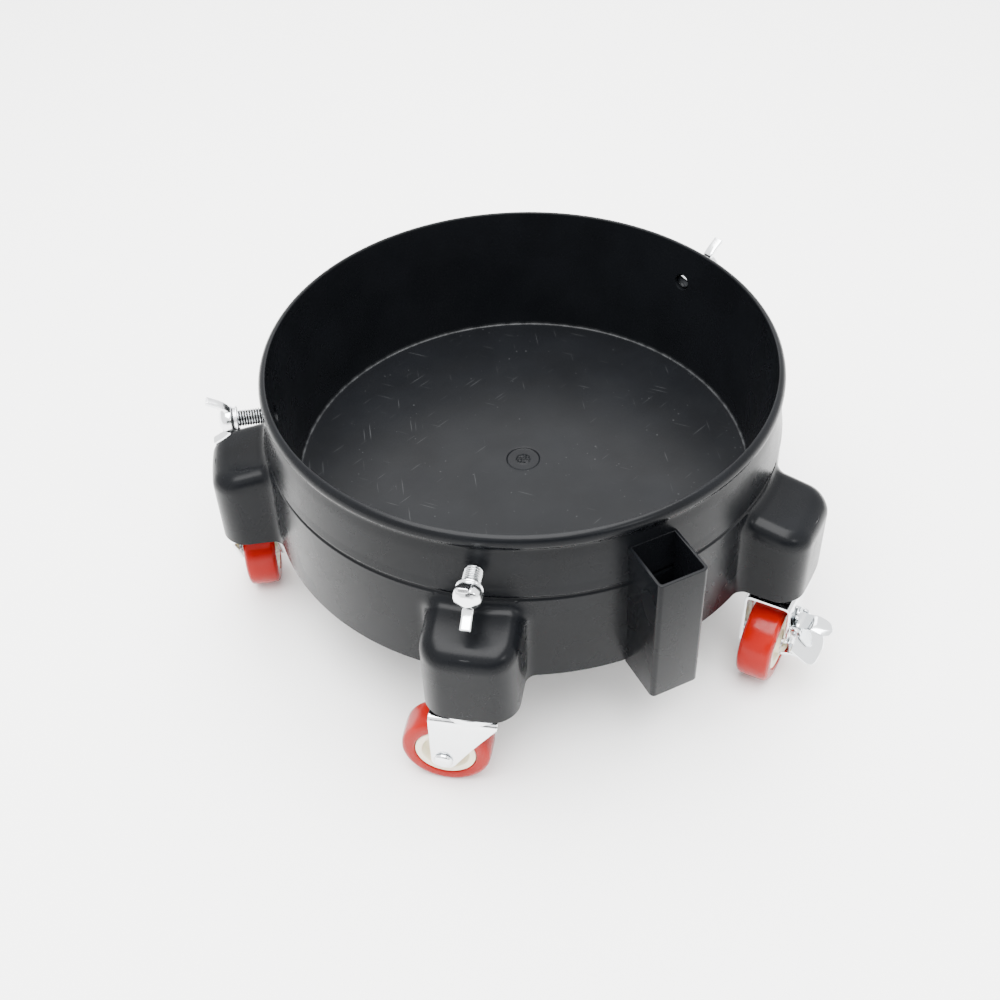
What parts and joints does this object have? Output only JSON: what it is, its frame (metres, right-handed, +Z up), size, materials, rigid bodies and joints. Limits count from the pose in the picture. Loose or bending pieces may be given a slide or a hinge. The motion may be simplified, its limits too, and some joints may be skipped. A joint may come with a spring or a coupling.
{
  "type": "drum dolly",
  "caption": "Low round dolly for a drum or pail: a moulded tub on swivel castors, with clamping wing screws, a handle socket and a wheel brake.",
  "frame": {"origin": "on the tub's axis at the ground, under the centre of the tub", "axes": "+Z up along the tub's axis; -Y out of the handle socket; one castor pod points along +Y"},
  "size_m": [0.363, 0.3691, 0.1698],
  "materials": {
    "tub_plastic": "black satin moulded polypropylene",
    "bright_zinc": "bright zinc plate",
    "dull_zinc": "plain zinc plated steel",
    "brass": "turned brass",
    "wheel_tyre": "glossy red cast polyurethane",
    "wheel_core": "cream nylon"
  },
  "bodies": {
    "tub": {"tub": "tub_plastic", "back_castor_kingpin": "dull_zinc", "back_castor_insert": "brass", "back_castor_race": "bright_zinc", "left_castor_kingpin": "dull_zinc", "left_castor_insert": "brass", "left_castor_race": "bright_zinc", "front_left_castor_kingpin": "dull_zinc", "front_left_castor_insert": "brass", "front_left_castor_race": "bright_zinc", "front_right_castor_kingpin": "dull_zinc", "front_right_castor_insert": "brass", "front_right_castor_race": "bright_zinc", "right_castor_kingpin": "dull_zinc", "right_castor_insert": "brass", "right_castor_race": "bright_zinc"},
    "back_castor": {"back_castor_ball_ring": "dull_zinc", "back_castor_fork": "bright_zinc", "back_castor_axle": "bright_zinc", "back_castor_axle_sleeve": "dull_zinc"},
    "back_wheel": {"back_castor_core": "wheel_core", "back_castor_tyre": "wheel_tyre"},
    "left_castor": {"left_castor_ball_ring": "dull_zinc", "left_castor_fork": "bright_zinc", "left_castor_axle": "bright_zinc", "left_castor_axle_sleeve": "dull_zinc"},
    "left_wheel": {"left_castor_core": "wheel_core", "left_castor_tyre": "wheel_tyre"},
    "front_left_castor": {"front_left_castor_ball_ring": "dull_zinc", "front_left_castor_fork": "bright_zinc", "front_left_castor_axle": "bright_zinc", "front_left_castor_axle_sleeve": "dull_zinc"},
    "front_left_wheel": {"front_left_castor_core": "wheel_core", "front_left_castor_tyre": "wheel_tyre"},
    "front_right_castor": {"front_right_castor_ball_ring": "dull_zinc", "front_right_castor_fork": "bright_zinc", "front_right_castor_axle": "bright_zinc", "front_right_castor_axle_sleeve": "dull_zinc", "front_right_brake_pin": "dull_zinc"},
    "front_right_wheel": {"front_right_castor_core": "wheel_core", "front_right_castor_tyre": "wheel_tyre"},
    "right_castor": {"right_castor_ball_ring": "dull_zinc", "right_castor_fork": "bright_zinc", "right_castor_axle": "bright_zinc", "right_castor_axle_sleeve": "dull_zinc"},
    "right_wheel": {"right_castor_core": "wheel_core", "right_castor_tyre": "wheel_tyre"},
    "front_right_brake": {"front_right_brake_pedal": "bright_zinc"},
    "front_left_screw": {"front_left_screw_shank": "bright_zinc"},
    "front_left_wing": {"front_left_screw_wing": "bright_zinc"},
    "left_screw": {"left_screw_shank": "bright_zinc"},
    "left_wing": {"left_screw_wing": "bright_zinc"},
    "right_screw": {"right_screw_shank": "bright_zinc"},
    "right_wing": {"right_screw_wing": "bright_zinc"}
  },
  "joints": [
    {"name": "back_castor_swivel", "type": "hinge", "parent": "tub", "child": "back_castor", "pos_m": [0, 0.169, 0.06], "axis": [0, 0, 1], "continuous": true},
    {"name": "back_wheel_spin", "type": "hinge", "parent": "back_castor", "child": "back_wheel", "pos_m": [0.016, 0.169, 0.0255], "axis": [0, 1, 0], "continuous": true},
    {"name": "left_castor_swivel", "type": "hinge", "parent": "tub", "child": "left_castor", "pos_m": [-0.16073, 0.05222, 0.06], "axis": [0, 0, 1], "continuous": true},
    {"name": "left_wheel_spin", "type": "hinge", "parent": "left_castor", "child": "left_wheel", "pos_m": [-0.15578, 0.06744, 0.0255], "axis": [-0.9511, 0.309, 0], "continuous": true},
    {"name": "front_left_castor_swivel", "type": "hinge", "parent": "tub", "child": "front_left_castor", "pos_m": [-0.09934, -0.13672, 0.06], "axis": [0, 0, 1], "continuous": true},
    {"name": "front_left_wheel_spin", "type": "hinge", "parent": "front_left_castor", "child": "front_left_wheel", "pos_m": [-0.11228, -0.12732, 0.0255], "axis": [-0.5878, -0.809, 0], "continuous": true},
    {"name": "front_right_castor_swivel", "type": "hinge", "parent": "tub", "child": "front_right_castor", "pos_m": [0.09934, -0.13672, 0.06], "axis": [0, 0, 1], "continuous": true},
    {"name": "front_right_wheel_spin", "type": "hinge", "parent": "front_right_castor", "child": "front_right_wheel", "pos_m": [0.08639, -0.14613, 0.0255], "axis": [0.5878, -0.809, 0], "continuous": true},
    {"name": "right_castor_swivel", "type": "hinge", "parent": "tub", "child": "right_castor", "pos_m": [0.16073, 0.05222, 0.06], "axis": [0, 0, 1], "continuous": true},
    {"name": "right_wheel_spin", "type": "hinge", "parent": "right_castor", "child": "right_wheel", "pos_m": [0.16567, 0.03701, 0.0255], "axis": [0.9511, 0.309, 0], "continuous": true},
    {"name": "front_right_brake", "type": "hinge", "parent": "front_right_castor", "child": "front_right_brake", "pos_m": [0.10075, -0.15721, 0.041], "axis": [0.809, 0.5878, 0], "range_deg": [0, 10]},
    {"name": "front_left_screw_travel", "type": "slide", "parent": "tub", "child": "front_left_screw", "axis": [0.5878, 0.809, 0], "range_m": [-0.0015, 0.009]},
    {"name": "front_left_wing_turn", "type": "hinge", "parent": "front_left_screw", "child": "front_left_wing", "pos_m": [-0.09434, -0.12985, 0.1449], "axis": [0.5878, 0.809, 0], "range_deg": [-362, 2162]},
    {"name": "left_screw_travel", "type": "slide", "parent": "tub", "child": "left_screw", "axis": [0.9511, -0.309, 0], "range_m": [-0.0015, 0.012]},
    {"name": "left_wing_turn", "type": "hinge", "parent": "left_screw", "child": "left_wing", "pos_m": [-0.15645, 0.05083, 0.1449], "axis": [0.9511, -0.309, 0], "range_deg": [-362, 2882]},
    {"name": "right_screw_travel", "type": "slide", "parent": "tub", "child": "right_screw", "axis": [-0.9511, -0.309, 0], "range_m": [-0.0015, 0.0105]},
    {"name": "right_wing_turn", "type": "hinge", "parent": "right_screw", "child": "right_wing", "pos_m": [0.15455, 0.05022, 0.1449], "axis": [-0.9511, -0.309, 0], "range_deg": [-362, 2522]}
  ],
  "couplings": [
    {"joint": "front_left_wing_turn", "follows": "front_left_screw_travel", "rad_per_m": 4188.8},
    {"joint": "left_wing_turn", "follows": "left_screw_travel", "rad_per_m": 4188.8},
    {"joint": "right_wing_turn", "follows": "right_screw_travel", "rad_per_m": 4188.8}
  ]
}
